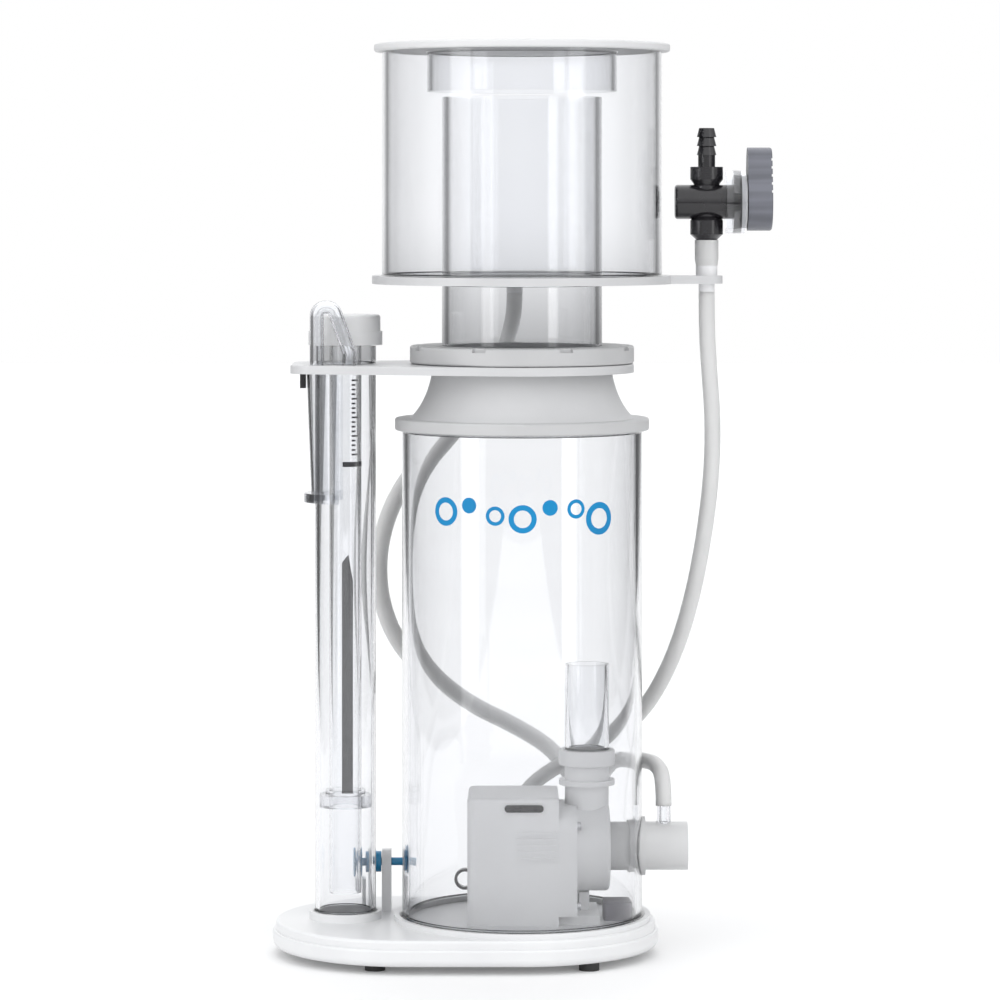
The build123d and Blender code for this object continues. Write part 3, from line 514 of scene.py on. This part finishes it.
# height marks on the level pipe: two bars with a column of ticks between them
levelScale = {
    "axisX": -0.0883,
    "radius": 0.00806,
    "thickness": 0.00008,
    "bars": ((0.2889, 0.2914), (0.2428, 0.2453)),  # each from its lower edge to its upper one
    "barFrom": -0.13,  # radians round from the front towards +X
    "barTo": 1.45,
    "ticks": 17,
    "tickLow": 0.2485,
    "tickHigh": 0.2855,
    "tickHeight": 0.0009,
    "tickFrom": 0.42,
    "tickTo": 0.68,
    "longTickTo": 0.85,
    "longTickEvery": 4,
}


def pipeMark(vertices, faces, first, last, low, high):
    steps = 14
    start = len(vertices)
    for depth in (0.0, levelScale["thickness"]):
        radius = levelScale["radius"] + depth
        for height in (low, high):
            for k in range(steps + 1):
                turn = first + (last - first) * k / steps
                x = levelScale["axisX"] + radius * math.sin(turn)
                vertices.append((x, -radius * math.cos(turn), height))
    span = steps + 1
    backLow, backHigh, frontLow, frontHigh = (start + span * i for i in range(4))
    for k in range(steps):
        faces.append((frontLow + k, frontLow + k + 1, frontHigh + k + 1, frontHigh + k))
        faces.append((backLow + k + 1, backLow + k, backHigh + k, backHigh + k + 1))
        faces.append((backLow + k, backLow + k + 1, frontLow + k + 1, frontLow + k))
        faces.append((frontHigh + k, frontHigh + k + 1, backHigh + k + 1, backHigh + k))
    for k in (0, steps):
        side = (backLow + k, frontLow + k, frontHigh + k, backHigh + k)
        faces.append(side if k == 0 else side[::-1])


def makeLevelScale():
    vertices = []
    faces = []
    for low, high in levelScale["bars"]:
        pipeMark(vertices, faces, levelScale["barFrom"], levelScale["barTo"], low, high)
    for k in range(levelScale["ticks"]):
        share = k / (levelScale["ticks"] - 1)
        low = levelScale["tickLow"] + share * (levelScale["tickHigh"] - levelScale["tickLow"])
        last = levelScale["longTickTo"] if k % levelScale["longTickEvery"] == 0 else levelScale["tickTo"]
        pipeMark(vertices, faces, levelScale["tickFrom"], last, low, low + levelScale["tickHeight"])
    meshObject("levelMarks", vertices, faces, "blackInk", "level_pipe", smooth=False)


makeLevelScale()
print("level marks printed")


studio = {
    "sweep": ((-2.6, 0.85), (0.0, 0.85), (7.5, 1.6)),  # how far back, and half the width there
    "floorGlow": 0.08,  # keeps the far floor as pale as the backdrop
    "backdrop": 1.0,
    "behind": 1.1,
    "inFront": 0.98,
    "backEdge": (0.26, 0.5),  # how far aside the pale back fades into the surround
    "surround": 0.34,  # dark to the left and right, which draws the clear tubes' edges
    "overhead": 0.52,
}


def ranged(tree, value, fromLow, fromHigh, low, high):
    node = tree.nodes.new("ShaderNodeMapRange")
    node.interpolation_type = "SMOOTHSTEP"
    node.inputs["From Min"].default_value = fromLow
    node.inputs["From Max"].default_value = fromHigh
    node.inputs["To Min"].default_value = low
    node.inputs["To Max"].default_value = high
    tree.links.new(value, node.inputs["Value"])
    return node.outputs["Result"]


def combined(tree, operation, first, second=None):
    node = tree.nodes.new("ShaderNodeMath")
    node.operation = operation
    tree.links.new(first, node.inputs[0])
    if second is not None:
        tree.links.new(second, node.inputs[1])
    return node.outputs[0]


def steady(tree, level):
    node = tree.nodes.new("ShaderNodeValue")
    node.outputs[0].default_value = level
    return node.outputs[0]


def makeWorld():
    world = bpy.data.worlds.new("softStudio")
    bpy.context.scene.world = world
    world.use_nodes = True
    tree = world.node_tree
    light = tree.nodes["Background"]
    place = tree.nodes.new("ShaderNodeTexCoord")
    split = tree.nodes.new("ShaderNodeSeparateXYZ")
    tree.links.new(place.outputs["Generated"], split.inputs["Vector"])
    aside = combined(tree, "ABSOLUTE", split.outputs["X"])
    backWall = ranged(tree, aside, *studio["backEdge"], studio["behind"], studio["surround"])
    facing = ranged(tree, split.outputs["Y"], -0.25, 0.25, 1.0, 0.0)
    front = combined(tree, "MULTIPLY", facing, steady(tree, studio["inFront"]))
    back = combined(tree, "MULTIPLY", combined(tree, "SUBTRACT", steady(tree, 1.0), facing), backWall)
    depth = combined(tree, "ADD", front, back)
    above = ranged(tree, split.outputs["Z"], -0.05, 0.0, studio["surround"], 1.0)
    overhead = ranged(tree, split.outputs["Z"], 0.05, 0.5, 0.0, studio["overhead"])
    level = combined(tree, "ADD", combined(tree, "MULTIPLY", depth, above), overhead)
    tree.links.new(level, light.inputs["Strength"])
    light.inputs["Color"].default_value = (0.985, 0.99, 1.0, 1.0)
    backdrop = tree.nodes.new("ShaderNodeBackground")
    backdrop.inputs["Strength"].default_value = studio["backdrop"]
    backdrop.inputs["Color"].default_value = (1.0, 1.0, 1.0, 1.0)
    path = tree.nodes.new("ShaderNodeLightPath")
    mix = tree.nodes.new("ShaderNodeMixShader")
    tree.links.new(path.outputs["Is Camera Ray"], mix.inputs["Fac"])
    tree.links.new(light.outputs["Background"], mix.inputs[1])
    tree.links.new(backdrop.outputs["Background"], mix.inputs[2])
    tree.links.new(mix.outputs["Shader"], tree.nodes["World Output"].inputs["Surface"])


def makeFloor():
    left = [(-half, back, 0.0) for back, half in studio["sweep"]]
    right = [(half, back, 0.0) for back, half in reversed(studio["sweep"])]
    vertices = left + right
    faces = [tuple(reversed(range(len(vertices))))]
    mesh = bpy.data.meshes.new("studioFloor")
    mesh.from_pydata(vertices, [], faces)
    floor = bpy.data.objects.new("studioFloor", mesh)
    bpy.context.scene.collection.objects.link(floor)
    material, tree, shader = newFinish("paleFloor")
    shader.inputs["Roughness"].default_value = 0.7
    shader.inputs["Emission Color"].default_value = (1.0, 1.0, 1.0, 1.0)
    shader.inputs["Emission Strength"].default_value = studio["floorGlow"]
    cloud = noise(tree, objectCoordinates(tree), 3.0, 2.0)
    tone = twoTone(tree, cloud, (0.77, 0.77, 0.77), (0.79, 0.79, 0.79))
    tree.links.new(tone, shader.inputs["Base Color"])
    floor.data.materials.append(material)


softboxTarget = (0.0, 0.0, 0.25)
softboxes = {
    "frontLeftBox": {"place": (-1.25, -1.0, 0.45), "size": (0.5, 1.4), "power": 4.6},
    "frontRightBox": {"place": (1.15, -1.15, 0.45), "size": (0.4, 1.4), "power": 2.6},
}


def softbox(name, place, target, size, power):
    light = bpy.data.lights.new(name, "AREA")
    light.shape = "RECTANGLE"
    light.size, light.size_y = size
    light.energy = power
    lamp = bpy.data.objects.new(name, light)
    bpy.context.scene.collection.objects.link(lamp)
    lamp.location = place
    lamp.rotation_euler = (Vector(target) - Vector(place)).to_track_quat("-Z", "Y").to_euler()


camera = {
    "place": (-0.011, -2.1, 0.376),
    "target": (-0.011, 0.0, 0.376),
    "lens": 151.2,
    "drop": -0.3005,  # keeps the uprights parallel, as seen from the height of the cup's middle
}


def makeCamera():
    view = bpy.data.cameras.new("camera")
    view.lens = camera["lens"]
    view.sensor_width = 36.0
    view.shift_y = camera["drop"]
    holder = bpy.data.objects.new("camera", view)
    bpy.context.scene.collection.objects.link(holder)
    holder.location = camera["place"]
    toTarget = Vector(camera["target"]) - Vector(camera["place"])
    holder.rotation_euler = toTarget.to_track_quat("-Z", "Y").to_euler()
    bpy.context.scene.camera = holder


makeWorld()
makeFloor()
for name, box in softboxes.items():
    softbox(name, box["place"], softboxTarget, box["size"], box["power"])
makeCamera()
scene = bpy.context.scene
scene.view_settings.view_transform = "Standard"
scene.cycles.max_bounces = 28
scene.cycles.transmission_bounces = 26
scene.cycles.transparent_max_bounces = 16
print("studio lit")
